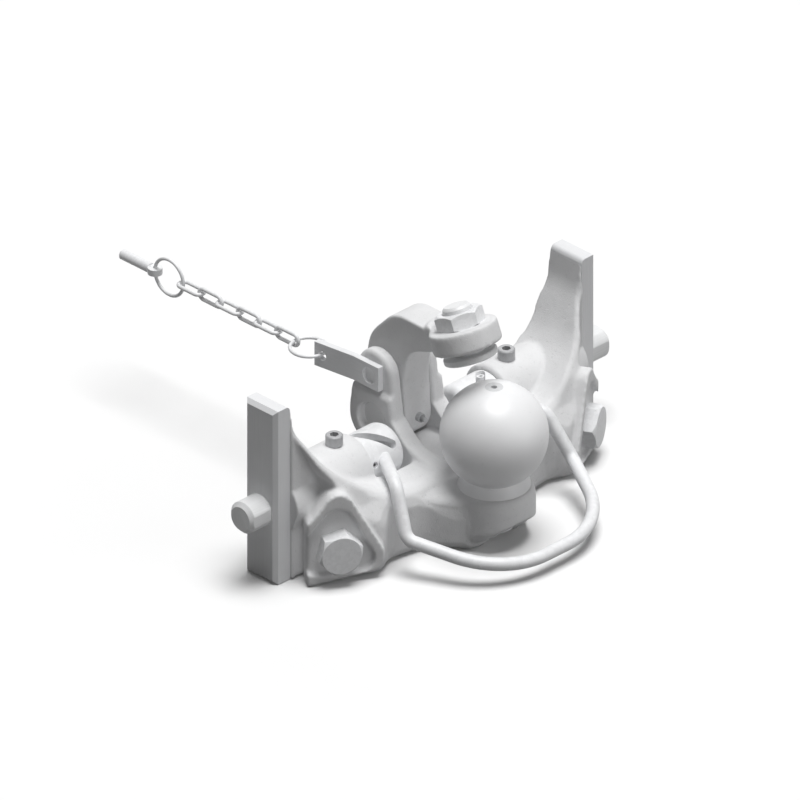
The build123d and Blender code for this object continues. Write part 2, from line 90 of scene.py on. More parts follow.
SPINDLE_TILT = radians(23.0)
EYE_RISE = 0.0035
EYE_LOW = 0.0700
EYE_REACH = 0.0300
PLATE_LOW = 0.0580
PLATE_HIGH = 0.0644
NECK_REACH = 0.0120
STUD_LOW = 0.0836
STUD_HIGH = 0.1010
NUT_LOW = 0.0810 + EYE_RISE
NUT_HIGH = 0.0930 + EYE_RISE
NUT_SLOPE = 0.60
NUT_CHAMFER = 0.0010

WHITE = (1.0, 1.0, 1.0, 1.0)
WORLD_FILL = 0.08
FILL_SPREAD = radians(50)
CAMERA_AIM = Vector((-0.0029, 0.0179, 0.0184))
CAMERA_FORWARD = Vector((0.6124, 0.6124, -0.5))
CAMERA_DISTANCE = 1.5


def middle(node):
    low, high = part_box(node)
    return (Vector(low) + Vector(high)) / 2


PIVOT = middle("pivot_pin")
LOCK = middle("lock_pin")
BALL = middle("ball_plug")
BALL_MIDDLE = Vector((0.0, BALL[1], BALL_HIGH[2] - (BALL_HIGH[1] - BALL_LOW[1]) / 2))
SPINDLE_UP = Vector((0.0, sin(SPINDLE_TILT), cos(SPINDLE_TILT)))


class HitchSizes(bpy.types.PropertyGroup):
    cast_cell: bpy.props.FloatProperty(
        name="Casting cell", description="Grid size of the rounded castings",
        default=0.0013, unit="LENGTH")
    cast_passes: bpy.props.IntProperty(
        name="Casting rounding", description="How often the moulded edges of the carrier are eased",
        default=14)
    beam_passes: bpy.props.IntProperty(
        name="Beam rounding", description="How often the front of the beam and the nose are eased first",
        default=60)
    lever_passes: bpy.props.IntProperty(
        name="Lever rounding", description="How often the forged edges of the lever are eased",
        default=7)
    plate_edge: bpy.props.FloatProperty(
        name="Plate edge", description="Edge break on the guide bars and the flag",
        default=0.0006, unit="LENGTH")
    bolt_edge: bpy.props.FloatProperty(
        name="Bolt edge", description="Edge break on the guide screws, the locking pins and the pivot",
        default=0.0003, unit="LENGTH")
    bolt_flats: bpy.props.FloatProperty(
        name="Bolt flats", description="Width across the flats of the front bolts",
        default=0.0300, unit="LENGTH")
    nut_flats: bpy.props.FloatProperty(
        name="Nut flats", description="Width across the flats of the spindle's nut",
        default=0.0322, unit="LENGTH")
    spindle_width: bpy.props.FloatProperty(
        name="Spindle", description="Diameter of the spindle's stud above the eye",
        default=0.0218, unit="LENGTH")
    plate_width: bpy.props.FloatProperty(
        name="Pressure plate", description="Diameter of the plate that holds the coupling down",
        default=0.0408, unit="LENGTH")
    view_width: bpy.props.FloatProperty(
        name="View width", description="Width that the camera takes in",
        default=0.5818, unit="LENGTH")


class HitchColours(bpy.types.PropertyGroup):
    casting: bpy.props.FloatVectorProperty(
        name="Casting", description="Shot-blasted cast steel of the carrier and the lever",
        default=(0.72, 0.722, 0.728, 1.0), size=4, subtype="COLOR")
    bar: bpy.props.FloatVectorProperty(
        name="Guide bars", description="Drawn flat bar of the two guides and the flag",
        default=(0.66, 0.665, 0.675, 1.0), size=4, subtype="COLOR")
    ball: bpy.props.FloatVectorProperty(
        name="Ball", description="Turned and polished ball",
        default=(0.80, 0.802, 0.81, 1.0), size=4, subtype="COLOR")
    pin: bpy.props.FloatVectorProperty(
        name="Pins", description="Ground steel of the locking pins, lock pin, pivot and spindle",
        default=(0.74, 0.745, 0.75, 1.0), size=4, subtype="COLOR")
    zinc: bpy.props.FloatVectorProperty(
        name="Zinc", description="Zinc plating on handle, hubs, bolts, nut, plug and chain",
        default=(0.76, 0.765, 0.775, 1.0), size=4, subtype="COLOR")
    screw: bpy.props.FloatVectorProperty(
        name="Screws", description="Blackened socket screws and grease nipple",
        default=(0.30, 0.303, 0.31, 1.0), size=4, subtype="COLOR")
    floor: bpy.props.FloatVectorProperty(
        name="Floor", description="Plain pale studio floor",
        default=(0.86, 0.86, 0.86, 1.0), size=4, subtype="COLOR")


class Socket:
    """A node's output that takes part in plain arithmetic."""

    def __init__(self, owner, link):
        self.owner = owner
        self.link = link

    def maths(self, operation, first, second=0.0):
        return self.owner.node("ShaderNodeMath", {"operation": operation}, {0: first, 1: second})

    def __add__(self, other):
        return self.maths("ADD", self, other)

    def __sub__(self, other):
        return self.maths("SUBTRACT", self, other)

    def __rsub__(self, other):
        return self.maths("SUBTRACT", other, self)

    def __mul__(self, other):
        return self.maths("MULTIPLY", self, other)

    __radd__ = __add__
    __rmul__ = __mul__


class NodeTree:
    """A node tree in which one method makes every node."""

    def __init__(self, tree):
        self.tree = tree

    def node(self, kind, settings, sockets, output=0):
        made = self.tree.nodes.new(kind)
        for name, value in settings.items():
            if name == "stops":
                for spot, (place, shade) in zip(made.color_ramp.elements, value):
                    spot.position = place
                    spot.color = (shade, shade, shade, 1.0)
            else:
                setattr(made, name, value)
        for name, value in sockets.items():
            self.feed(made.inputs[name], value)
        return Socket(self, made.outputs[output]) if made.outputs else None

    def feed(self, socket, value):
        if isinstance(value, Socket):
            self.tree.links.new(value.link, socket)
        else:
            socket.default_value = value

    def pale_rays(self):
        """1 for rays from the camera, off metal or through glass, and 0 for light thrown around."""
        rays = ("Is Camera Ray", "Is Glossy Ray", "Is Transmission Ray")
        camera, glossy, through = [self.node("ShaderNodeLightPath", {}, {}, ray) for ray in rays]
        return camera + glossy + through


class Finish(NodeTree):
    """One procedural material: a shader with its constants and the nodes that vary it."""

    def __init__(self, name, **constants):
        self.material = bpy.data.materials.new(name)
        self.material.use_nodes = True
        super().__init__(self.material.node_tree)
        self.shader = self.tree.nodes["Principled BSDF"]
        for socket, value in constants.items():
            self.shader.inputs[socket.replace("_", " ")].default_value = value

    def shade(self, **values):
        for socket, value in values.items():
            self.feed(self.shader.inputs[socket.replace("_", " ")], value)
        return self.material

    def place(self, stretch=(1.0, 1.0, 1.0)):
        here = self.node("ShaderNodeTexCoord", {}, {}, "Object")
        return self.node("ShaderNodeVectorMath", {"operation": "MULTIPLY"}, {0: here, 1: stretch})

    def noise(self, scale, detail=3.0, stretch=(1.0, 1.0, 1.0)):
        sockets = {"Vector": self.place(stretch), "Scale": scale, "Detail": detail}
        return self.node("ShaderNodeTexNoise", {}, sockets)

    def cells(self, scale):
        sockets = {"Vector": self.place(), "Scale": scale}
        return self.node("ShaderNodeTexVoronoi", {"feature": "F1"}, sockets, "Color")

    def ramp(self, value, low, high):
        return self.node("ShaderNodeValToRGB", {"stops": ((low, 0.0), (high, 1.0))}, {"Fac": value})

    def corners(self, low, high):
        bend = self.node("ShaderNodeNewGeometry", {}, {}, "Pointiness")
        return self.ramp(bend, low, high)

    def mix(self, factor, first, second):
        return self.node("ShaderNodeMix", {"data_type": "RGBA"}, {0: factor, 6: first, 7: second}, 2)

    def relief(self, height, depth, strength=1.0):
        sockets = {"Height": height, "Distance": depth, "Strength": strength}
        return self.node("ShaderNodeBump", {}, sockets)


def tone(colour, share):
    return (colour[0] * share, colour[1] * share, colour[2] * share, 1.0)


def cast_finish(name, colour):
    """Shot-blasted casting: sandy grain, slow waves, painted shade that darkens the hollows, and rubbed
    edges.
    """
    colour = tuple(colour)
    finish = Finish(name, Metallic=0.0, IOR=1.40)
    grain = finish.noise(1400.0, 4.0)
    waves = finish.noise(90.0, 3.0)
    specks = finish.ramp(finish.noise(420.0, 5.0), 0.60, 0.72)
    # Painted shade: concave spots, found by their pointiness, are darkened as if shade fell in them.
    painted_hollow_shade = 1.0 - finish.corners(0.40, 0.50)
    rubbed = finish.corners(0.52, 0.60)
    base = finish.mix(waves, tone(colour, 0.93), tone(colour, 1.07))
    base = finish.mix(grain * 0.35, base, tone(colour, 0.80))
    base = finish.mix(specks * 0.22, base, tone(colour, 0.62))
    # Mixes in the painted shade of the hollows.
    base = finish.mix(painted_hollow_shade * 0.45, base, tone(colour, 0.55))
    base = finish.mix(rubbed * 0.40, base, tone(colour, 1.30))
    rough = 0.50 + grain * 0.20 - rubbed * 0.12
    skin = grain * 0.5 + waves * 1.2 - specks * 0.3
    return finish.shade(Base_Color=base, Roughness=rough, Normal=finish.relief(skin, 0.00034, 0.9))


def drawn_finish(name, colour, stretch):
    """Drawn or ground steel: fine streaks along the piece, faint stains and bright edges."""
    colour = tuple(colour)
    finish = Finish(name, Metallic=0.04)
    streaks = finish.noise(1500.0, 3.0, stretch)
    stains = finish.ramp(finish.noise(45.0, 4.0), 0.40, 0.75)
    rubbed = finish.corners(0.51, 0.56)
    base = finish.mix(streaks, tone(colour, 0.90), tone(colour, 1.10))
    base = finish.mix(stains * 0.20, base, tone(colour, 0.78))
    base = finish.mix(rubbed * 0.35, base, tone(colour, 1.25))
    rough = 0.36 + streaks * 0.16 + stains * 0.10
    return finish.shade(Base_Color=base, Roughness=rough, Normal=finish.relief(streaks, 0.00005, 0.7))


def zinc_finish(name, colour, scale, metallic=0.05):
    """Zinc plating: faint crystal patches, a milky bloom and handling marks."""
    colour = tuple(colour)
    finish = Finish(name, Metallic=metallic)
    patches = finish.node("ShaderNodeSeparateColor", {}, {"Color": finish.cells(scale)})
    bloom = finish.noise(60.0, 5.0)
    fine = finish.noise(2600.0, 2.0)
    marks = finish.ramp(finish.noise(900.0, 2.0, (1.0, 1.0, 0.12)), 0.62, 0.70)
    base = finish.mix(patches, tone(colour, 0.95), tone(colour, 1.06))
    base = finish.mix(bloom * 0.30, base, tone(colour, 0.84))
    base = finish.mix(marks * 0.12, base, tone(colour, 0.60))
    rough = 0.42 + patches * 0.08 + bloom * 0.16
    skin = finish.relief(fine + marks * 0.5, 0.00003, 0.6)
    return finish.shade(Base_Color=base, Roughness=rough, Normal=skin)


def ball_finish(name, colour):
    """Turned and polished ball: rings of the lathe, a soft haze and grease-dulled spots."""
    colour = tuple(colour)
    finish = Finish(name, Metallic=0.03)
    rings = finish.noise(2200.0, 2.0, (0.03, 0.03, 1.0))
    haze = finish.ramp(finish.noise(38.0, 4.0), 0.42, 0.75)
    scuffs = finish.ramp(finish.noise(240.0, 4.0, (0.4, 1.0, 1.6)), 0.64, 0.72)
    base = finish.mix(haze * 0.25, colour, tone(colour, 0.86))
    base = finish.mix(scuffs * 0.10, base, tone(colour, 0.60))
    rough = 0.40 + haze * 0.12 + rings * 0.05
    return finish.shade(Base_Color=base, Roughness=rough, Normal=finish.relief(rings, 0.00002, 0.5))


def screw_finish(name, colour):
    """Blackened steel screws with a worn, oily surface."""
    colour = tuple(colour)
    finish = Finish(name, Metallic=0.20)
    oil = finish.noise(500.0, 4.0)
    rubbed = finish.corners(0.51, 0.56)
    base = finish.mix(oil, tone(colour, 0.75), tone(colour, 1.35))
    base = finish.mix(rubbed * 0.5, base, tone(colour, 2.4))
    rough = 0.34 + oil * 0.20
    return finish.shade(Base_Color=base, Roughness=rough, Normal=finish.relief(oil, 0.00004, 0.6))


def spindle_finish(name, colour):
    """Turned spindle steel: oily patches and faint rings of the lathe around its tilted axis."""
    colour = tuple(colour)
    finish = Finish(name, Metallic=0.04)
    offset = finish.node(
        "ShaderNodeVectorMath", {"operation": "SUBTRACT"},
        {0: finish.place(), 1: tuple(BALL_MIDDLE)})
    height = finish.node(
        "ShaderNodeVectorMath", {"operation": "DOT_PRODUCT"},
        {0: offset, 1: tuple(SPINDLE_UP)}, "Value")
    rings = height.maths("SINE", height * 9000.0)
    oil = finish.noise(700.0, 3.0)
    base = finish.mix(oil, tone(colour, 0.90), tone(colour, 1.08))
    rough = 0.36 + oil * 0.14
    return finish.shade(Base_Color=base, Roughness=rough, Normal=finish.relief(rings + oil, 0.00001))


def floor_finish(colour):
    """Pale floor that throws back less on the pieces than the camera and the metal see of it."""
    finish = Finish("studio_floor", Roughness=0.9, Specular_IOR_Level=0.1)
    speckle = finish.noise(30.0, 3.0)
    pale = finish.mix(speckle * 0.3, tuple(colour), tone(colour, 0.985))
    return finish.shade(Base_Color=finish.mix(finish.pale_rays(), tone(colour, FLOOR_BOUNCE), pale))


def look(piece, material):
    if piece.material_slots:
        for slot in piece.material_slots:
            slot.material = material
    else:
        piece.data.materials.append(material)


def linked(name, data):
    """A new object with this data, linked to the scene."""
    piece = bpy.data.objects.new(name, data)
    bpy.context.scene.collection.objects.link(piece)
    return piece


def broken_edges(piece, width):
    """Adds the modifiers that break the hard edges of a piece, which keeps its own mesh."""
    weld = piece.modifiers.new("weld", "WELD")
    weld.merge_threshold = WELD_GAP
    flats = piece.modifiers.new("flats", "DECIMATE")
    flats.decimate_type = "DISSOLVE"
    flats.angle_limit = FLAT_ANGLE
    bevel = piece.modifiers.new("bevel", "BEVEL")
    bevel.limit_method = "ANGLE"
    bevel.angle_limit = radians(32)
    bevel.width = width
    bevel.segments = 2
    bevel.use_clamp_overlap = True
    piece.modifiers.new("normals", "WEIGHTED_NORMAL")


def grid_copy(node, name, cell):
    """An evenly gridded copy of a CAD node's shape."""
    mesh = NODES[node].data.copy()
    piece = linked(name, mesh)
    weld = piece.modifiers.new("weld", "WELD")
    weld.merge_threshold = WELD_GAP
    grid = piece.modifiers.new("grid", "REMESH")
    grid.mode = "VOXEL"
    grid.voxel_size = cell
    grid.use_smooth_shade = True
    graph = bpy.context.evaluated_depsgraph_get()
    done = bpy.data.meshes.new_from_object(piece.evaluated_get(graph))
    piece.modifiers.clear()
    piece.data = done
    bpy.data.meshes.remove(mesh)
    return piece


class Skin:
    """The points of a gridded copy, which are eased and then laid back on the CAD surface."""

    def __init__(self, piece, node):
        self.mesh = piece.data
        self.count = len(self.mesh.vertices)
        flat = np.empty(self.count * 3)
        self.mesh.vertices.foreach_get("co", flat)
        self.spots = flat.reshape(self.count, 3)
        pairs = np.empty(len(self.mesh.edges) * 2, dtype=np.int64)
        self.mesh.edges.foreach_get("vertices", pairs)
        self.first, self.second = pairs.reshape(-1, 2).T
        around = np.bincount(self.first, minlength=self.count)
        around += np.bincount(self.second, minlength=self.count)
        self.around = np.maximum(around, 1)[:, None]
        source = NODES[node].data
        corners = [corner.co for corner in source.vertices]
        self.tree = BVHTree.FromPolygons(corners, [face.vertices for face in source.polygons])

    def ease(self, passes, freedom):
        """Moves each point towards the mean of its neighbours, by half its freedom at each pass."""
        share = freedom[:, None] * 0.5
        for _ in range(passes):
            total = np.empty_like(self.spots)
            for axis in range(3):
                line = self.spots[:, axis]
                total[:, axis] = np.bincount(self.first, line[self.second], self.count)
                total[:, axis] += np.bincount(self.second, line[self.first], self.count)
            self.spots += share * (total / self.around - self.spots)

    def lay_back(self, near=0.00030, far=0.00060):
        """Open faces go back to the CAD surface, and what was eased further than far stays eased."""
        for index in range(self.count):
            place, _, _, gap = self.tree.find_nearest(Vector(self.spots[index]))
            hold = min(max((far - gap) / (far - near), 0.0), 1.0)
            self.spots[index] += hold * (np.array(place) - self.spots[index])

    def write(self):
        self.mesh.vertices.foreach_set("co", self.spots.ravel())
        self.mesh.update()


def finished(work, name):
    """The piece that a working mesh ends as, smooth between its sharp edges."""
    mesh = bpy.data.meshes.new(name)
    work.to_mesh(mesh)
    work.free()
    mesh.shade_smooth()
    mesh.set_sharp_from_angle(angle=SHARP_ANGLE)
    return linked(name, mesh)


def rounded_bar(node, name, way):
    """A copy of a guide bar with a large rounding along the inner edge of its top."""
    work = bmesh.new()
    work.from_mesh(NODES[node].data)
    bmesh.ops.remove_doubles(work, verts=work.verts, dist=WELD_GAP)
    bmesh.ops.dissolve_limit(work, angle_limit=FLAT_ANGLE, verts=work.verts, edges=work.edges)
    low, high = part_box(node)
    inner = low[0] if way > 0.0 else high[0]
    near = 0.0001

    def on_edge(corner):
        return corner.co.z > high[2] - near and abs(corner.co.x - inner) < near

    top = [edge for edge in work.edges if all(on_edge(corner) for corner in edge.verts)]
    bmesh.ops.bevel(
        work, geom=top, offset=BAR_TOP_ROUNDING, offset_type="OFFSET",
        segments=6, profile=0.5, affect="EDGES")
    return finished(work, name)


def turned_piece(name, rings, place, closed=False):
    """A piece of rings around its own axis. Each ring is a reach and a height, as functions of the angle."""
    angles = [2 * pi * k / RING_STEPS for k in range(RING_STEPS)]
    work = bmesh.new()
    loops = []
    for reach, height in rings:
        corners = [(reach(a) * cos(a), reach(a) * sin(a), height(a)) for a in angles]
        loops.append([work.verts.new(corner) for corner in corners])
    for lower, upper in zip(loops, loops[1:] + (loops[:1] if closed else [])):
        for k in range(RING_STEPS):
            n = (k + 1) % RING_STEPS
            work.faces.new((lower[k], lower[n], upper[n], upper[k]))
    if not closed:
        work.faces.new(list(reversed(loops[0])))
        work.faces.new(loops[-1])
    bmesh.ops.recalc_face_normals(work, faces=work.faces)
    work.transform(place)
    piece = finished(work, name)
    piece.modifiers.new("normals", "WEIGHTED_NORMAL").keep_sharp = True
    return piece


def hexagon_reach(angle, flats, turn):
    """Distance from the axis to a hexagon's outline, with the middle of one flat at the turn."""
    step = radians(60.0)
    return flats / 2 / cos((angle - turn + step / 2) % step - step / 2)


def level(value):
    return lambda angle: value


def chamfered(flats, turn, face, height, slope, way):
    """Height at which a hexagon's outline meets the cone that is turned on its end."""
    return lambda angle: height - way * slope * max(hexagon_reach(angle, flats, turn) - face, 0.0)


def bolt_rings(flats, lie):
    """Rings of a front bolt: chamfered shank, hexagon and turned face."""
    face = flats / 2 - 0.0001

    def outline(angle):
        return hexagon_reach(angle, flats, lie)

    return [
        (level(SHANK_REACH - SHANK_CHAMFER), level(-SHANK_LENGTH)),
        (level(SHANK_REACH), level(SHANK_CHAMFER - SHANK_LENGTH)),
        (level(SHANK_REACH), level(0.0)),
        (outline, level(0.0)),
        (outline, chamfered(flats, lie, face, BOLT_HEAD, BOLT_SLOPE, 1.0)),
        (level(face), level(BOLT_HEAD - 0.0001)),
        (level(face - 0.0004), level(BOLT_HEAD)),
        (level(face * 0.5), level(BOLT_HEAD)),
        (level(0.0020), level(BOLT_HEAD)),
    ]


def spindle_rings(stud, plate):
    """Rings of the spindle above the ball's middle: crowned plate, neck in the eye and stud."""
    profile = [
        (0.0010, PLATE_LOW), (plate * 0.6, PLATE_LOW + 0.0001),
        (plate - 0.0016, PLATE_LOW + 0.0008), (plate - 0.0004, PLATE_LOW + 0.0016),
        (plate, PLATE_LOW + 0.0026), (plate, PLATE_HIGH - 0.0010),
        (plate - 0.0008, PLATE_HIGH - 0.0002), (plate - 0.0016, PLATE_HIGH),
        (NECK_REACH, PLATE_HIGH), (NECK_REACH, STUD_LOW - 0.0006),
        (stud, STUD_LOW), (stud, STUD_HIGH - 0.0020),
        (stud - 0.0003, STUD_HIGH - 0.0015), (stud - 0.0014, STUD_HIGH - 0.0004),
        (stud - 0.0020, STUD_HIGH), (0.0010, STUD_HIGH),
    ]
    return [(level(reach), level(height)) for reach, height in profile]


def nut_rings(stud, flats):
    """Rings of the spindle's nut, chamfered at both ends, round a bore that clears the stud."""
    face, lie = flats / 2 - 0.0003, 0.0
    bore = stud + 0.0001
    mouth = bore + NUT_CHAMFER

    def outline(angle):
        return hexagon_reach(angle, flats, lie)

    return [
        (level(bore), level(NUT_LOW + NUT_CHAMFER)),
        (level(mouth), level(NUT_LOW)),
        (level(face), level(NUT_LOW)),
        (outline, chamfered(flats, lie, face, NUT_LOW, NUT_SLOPE, -1.0)),
        (outline, chamfered(flats, lie, face, NUT_HIGH, NUT_SLOPE, 1.0)),
        (level(face), level(NUT_HIGH)),
        (level(mouth), level(NUT_HIGH)),
        (level(bore), level(NUT_HIGH - NUT_CHAMFER)),
    ]


def axis_place(origin, across, up):
    """A frame whose x runs across and whose z runs up an axis."""
    across, up = Vector(across).normalized(), Vector(up).normalized()
    side = up.cross(across)
    turned = Matrix((across, side, up)).transposed().to_4x4()
    return Matrix.Translation(Vector(origin)) @ turned


def fade(value, width):
    """0 up to zero, 1 from the width on, and straight in between."""
    return np.clip(value / width, 0.0, 1.0)


def near_axis(spots, axis, place, radius, band):
    """1 near a line along an axis and 0 away from it, for the machined parts of a casting."""
    others = [k for k in range(3) if k != axis]
    reach = np.hypot(spots[:, others[0]] - place[0], spots[:, others[1]] - place[1])
    return fade(radius + band - reach, band)


def pad_axes(spots):
    """Each point's distance along a pad's face, from its outer corner, and out of that face."""
    sides = np.abs(spots[:, 0]) - PAD_CORNER_X
    depth = spots[:, 1] - PAD_CORNER_Y
    along = sides * cos(PAD_TURN) + depth * sin(PAD_TURN)
    out = sides * sin(PAD_TURN) - depth * cos(PAD_TURN)
    return along, out


def pad_share(spots):
    """1 on the machined pads, which face forward and outward, and 0 away from them."""
    _, out = pad_axes(spots)
    return fade(out + 0.0065, 0.002) * (np.abs(spots[:, 0]) > 0.085)


def casting_freedom(spots):
    """How far each point of the casting may be eased: little round bores, seats and pads."""
    sides = np.abs(spots[:, 0])
    machined = near_axis(spots, 0, (PIVOT[1], PIVOT[2]), 0.016, 0.003) * (sides > 0.020)
    machined = np.maximum(machined, near_axis(spots, 0, (LOCK[1], LOCK[2]), 0.009, 0.003))
    machined = np.maximum(machined, near_axis(spots, 0, (0.0, 0.0), 0.0150, 0.002))
    machined = np.maximum(machined, near_axis(spots, 2, (0.0, BALL[1]), 0.020, 0.004))
    machined = np.maximum(machined, pad_share(spots) * 0.75)
    machined = np.maximum(machined, (sides > BAR_SIDE_X) * 1.0)
    return 1.0 - 0.85 * machined


def beam_freedom(spots):
    """1 on the front of the beam and the nose, which are moulded with large roundings."""
    front = fade(BEAM_FRONT_Y - spots[:, 1], 0.006)
    inside = fade(BEAM_SIDE_X - np.abs(spots[:, 0]), 0.006)
    seat = near_axis(spots, 2, (0.0, BALL[1]), 0.029, 0.002)
    return front * inside * (1.0 - seat)


def lever_freedom(spots):
    """How far each point of the lever may be eased: little round the bore of its pivot."""
    return 1.0 - 0.8 * near_axis(spots, 0, (PIVOT[1], PIVOT[2]), 0.016, 0.003)


def nose_chamfer(spots):
    """Lifts the underside of the nose, which slopes up towards its front."""
    rise = NOSE_SLOPE_LOW + NOSE_SLOPE * (NOSE_SLOPE_START - spots[:, 1])
    lifted = np.maximum(spots[:, 2], rise)
    share = fade(0.075 - np.abs(spots[:, 0]), 0.025) * (spots[:, 1] < NOSE_SLOPE_START)
    spots[:, 2] += share * (lifted - spots[:, 2])


def flush_pads(spots):
    """Brings the outer side of each pad out towards the side of the casting."""
    sides = np.abs(spots[:, 0])
    along, out = pad_axes(spots)
    share = fade(along + 0.0100, 0.0070) * fade(out + 0.016, 0.003) * fade(-spots[:, 2], 0.006)
    share *= (sides > 0.120) * (spots[:, 1] < -0.020)
    moved = np.minimum(sides + share * PAD_SHIFT * cos(PAD_TURN), PAD_CORNER_X)
    moved = np.where(share > 0.0, np.maximum(moved, sides), sides)
    spots[:, 0] = np.sign(spots[:, 0]) * moved
    spots[:, 1] += share * PAD_SHIFT * sin(PAD_TURN)


def eye_rise(spots):
    """Thickens the eye of the lever upwards, under its nut."""
    up = np.array(SPINDLE_UP)
    offset = spots - np.array(BALL_MIDDLE)
    height = offset @ up
    reach = np.linalg.norm(offset - height[:, None] * up, axis=1)
    share = fade(height - EYE_LOW, 0.009) * fade(EYE_REACH - reach, 0.003)
    spots += (share * EYE_RISE)[:, None] * up


def ready(made):
    if not made:
        raise RuntimeError("this group of pieces could not be finished")
    return {"FINISHED"}


class HITCH_OT_casting(bpy.types.Operator):
    """Rounds the carrier casting and the hold-down lever and gives them a cast skin"""
    bl_idname = "hitch.casting"
    bl_label = "Castings"

    def execute(self, context):
        sizes, colours = context.scene.hitch_sizes, context.scene.hitch_colours
        skin = cast_finish("cast_skin", colours.casting)
        body = grid_copy("carrier_body", "carrier_casting", sizes.cast_cell)
        skin_of_body = Skin(body, "carrier_body")
        nose_chamfer(skin_of_body.spots)
        flush_pads(skin_of_body.spots)
        freedom = casting_freedom(skin_of_body.spots)
        skin_of_body.ease(sizes.beam_passes, beam_freedom(skin_of_body.spots))
        skin_of_body.ease(sizes.cast_passes, freedom)
        skin_of_body.lay_back()
        skin_of_body.ease(LAST_PASSES, freedom)
        skin_of_body.write()
        lever = grid_copy("hold_down_lever", "lever_forging", sizes.cast_cell * LEVER_CELL_SHARE)
        skin_of_lever = Skin(lever, "hold_down_lever")
        eye_rise(skin_of_lever.spots)
        freedom = lever_freedom(skin_of_lever.spots)
        skin_of_lever.ease(sizes.lever_passes, freedom)
        skin_of_lever.lay_back()
        skin_of_lever.ease(LAST_PASSES, freedom)
        skin_of_lever.write()
        pieces = ((body, "carrier_body", "carrier"), (lever, "hold_down_lever", "lever"))
        for piece, node, body_name in pieces:
            piece.data.materials.clear()
            look(piece, skin)
            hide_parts(node)
            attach(piece, body_name)
        return ready(body and lever)


class HITCH_OT_guides(bpy.types.Operator):
    """Finishes the guide bars with their screws, and the front bolts"""
    bl_idname = "hitch.guides"
    bl_label = "Guide bars and bolts"

    def execute(self, context):
        sizes, colours = context.scene.hitch_sizes, context.scene.hitch_colours
        bar = drawn_finish("drawn_bar", colours.bar, (1.0, 1.0, 0.02))
        bolt = zinc_finish("bolt_plating", colours.zinc, 400.0)
        screw = screw_finish("black_screw", colours.screw)
        for side, way in (("left_", -1.0), ("right_", 1.0)):
            bar_piece = rounded_bar(side + "guide_bar", side + "drawn_bar", way)
            look(bar_piece, bar)
            broken_edges(bar_piece, sizes.plate_edge)
            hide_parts(side + "guide_bar")
            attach(bar_piece, "carrier")
            look(NODES[side + "guide_screw"], screw)
            broken_edges(NODES[side + "guide_screw"], sizes.bolt_edge)
            outwards = Vector((way * sin(PAD_TURN), -cos(PAD_TURN), 0.0))
            across = Vector((way * cos(PAD_TURN), sin(PAD_TURN), 0.0))
            corner = Vector((way * PAD_CORNER_X, PAD_CORNER_Y, BOLT_Z))
            place = axis_place(corner - across * BOLT_INSET - outwards * BOLT_SINK, across, outwards)
            rings = bolt_rings(sizes.bolt_flats, BOLT_LIE if way > 0.0 else pi - BOLT_LIE)
            head_piece = turned_piece(side + "hexagon_bolt", rings, place)
            look(head_piece, bolt)
            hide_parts(side + "front_bolt")
            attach(head_piece, "carrier")
        return ready(bar and bolt)


class HITCH_OT_ball(bpy.types.Operator):
    """Polishes the ball and plates its plug"""
    bl_idname = "hitch.ball"
    bl_label = "Ball"

    def execute(self, context):
        colours = context.scene.hitch_colours
        polish = ball_finish("polished_ball", colours.ball)
        look(NODES["ball"], polish)
        look(NODES["ball_plug"], zinc_finish("plug_plating", tone(colours.zinc, 0.8), 600.0))
        return ready(polish)


class HITCH_OT_locking(bpy.types.Operator):
    """Finishes the locking pins, cam hubs, their screws and the lifting handle"""
    bl_idname = "hitch.locking"
    bl_label = "Pins, hubs and handle"

    def execute(self, context):
        sizes, colours = context.scene.hitch_sizes, context.scene.hitch_colours
        pin = drawn_finish("ground_pin", colours.pin, (0.03, 1.0, 1.0))
        hub = zinc_finish("hub_plating", colours.zinc, 220.0)
        rod = zinc_finish("rod_plating", colours.zinc, 260.0)
        screw = screw_finish("black_grub", colours.screw)
        for side in ("left_", "right_"):
            look(NODES[side + "locking_pin"], pin)
            broken_edges(NODES[side + "locking_pin"], sizes.bolt_edge)
            look(NODES[side + "cam_hub"], hub)
            look(NODES[side + "cam_screw"], hub)
            look(NODES[side + "hub_screw"], screw)
        look(NODES["lift_handle"], rod)
        return ready(pin and rod)


class HITCH_OT_spindle(bpy.types.Operator):
    """Finishes the pivot, the threaded spindle with its nut, and the grease nipple"""
    bl_idname = "hitch.spindle"
    bl_label = "Spindle and pivot"

    def execute(self, context):
        sizes, colours = context.scene.hitch_sizes, context.scene.hitch_colours
        place = axis_place(BALL_MIDDLE, (1.0, 0.0, 0.0), SPINDLE_UP)
        stud, plate = sizes.spindle_width / 2, sizes.plate_width / 2
        spindle = turned_piece("hold_down_spindle", spindle_rings(stud, plate), place)
        look(spindle, spindle_finish("spindle_steel", colours.pin))
        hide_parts("press_spindle")
        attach(spindle, "lever")
        nut = turned_piece("hexagon_nut", nut_rings(stud, sizes.nut_flats), place, closed=True)
        look(nut, zinc_finish("nut_plating", colours.zinc, 400.0))
        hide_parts("spindle_nut")
        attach(nut, "lever")
        look(NODES["pivot_pin"], drawn_finish("pivot_steel", colours.pin, (0.03, 1.0, 1.0)))
        look(NODES["grease_nipple"], screw_finish("nipple_steel", colours.screw))
        broken_edges(NODES["pivot_pin"], sizes.bolt_edge)
        return ready(spindle and nut)


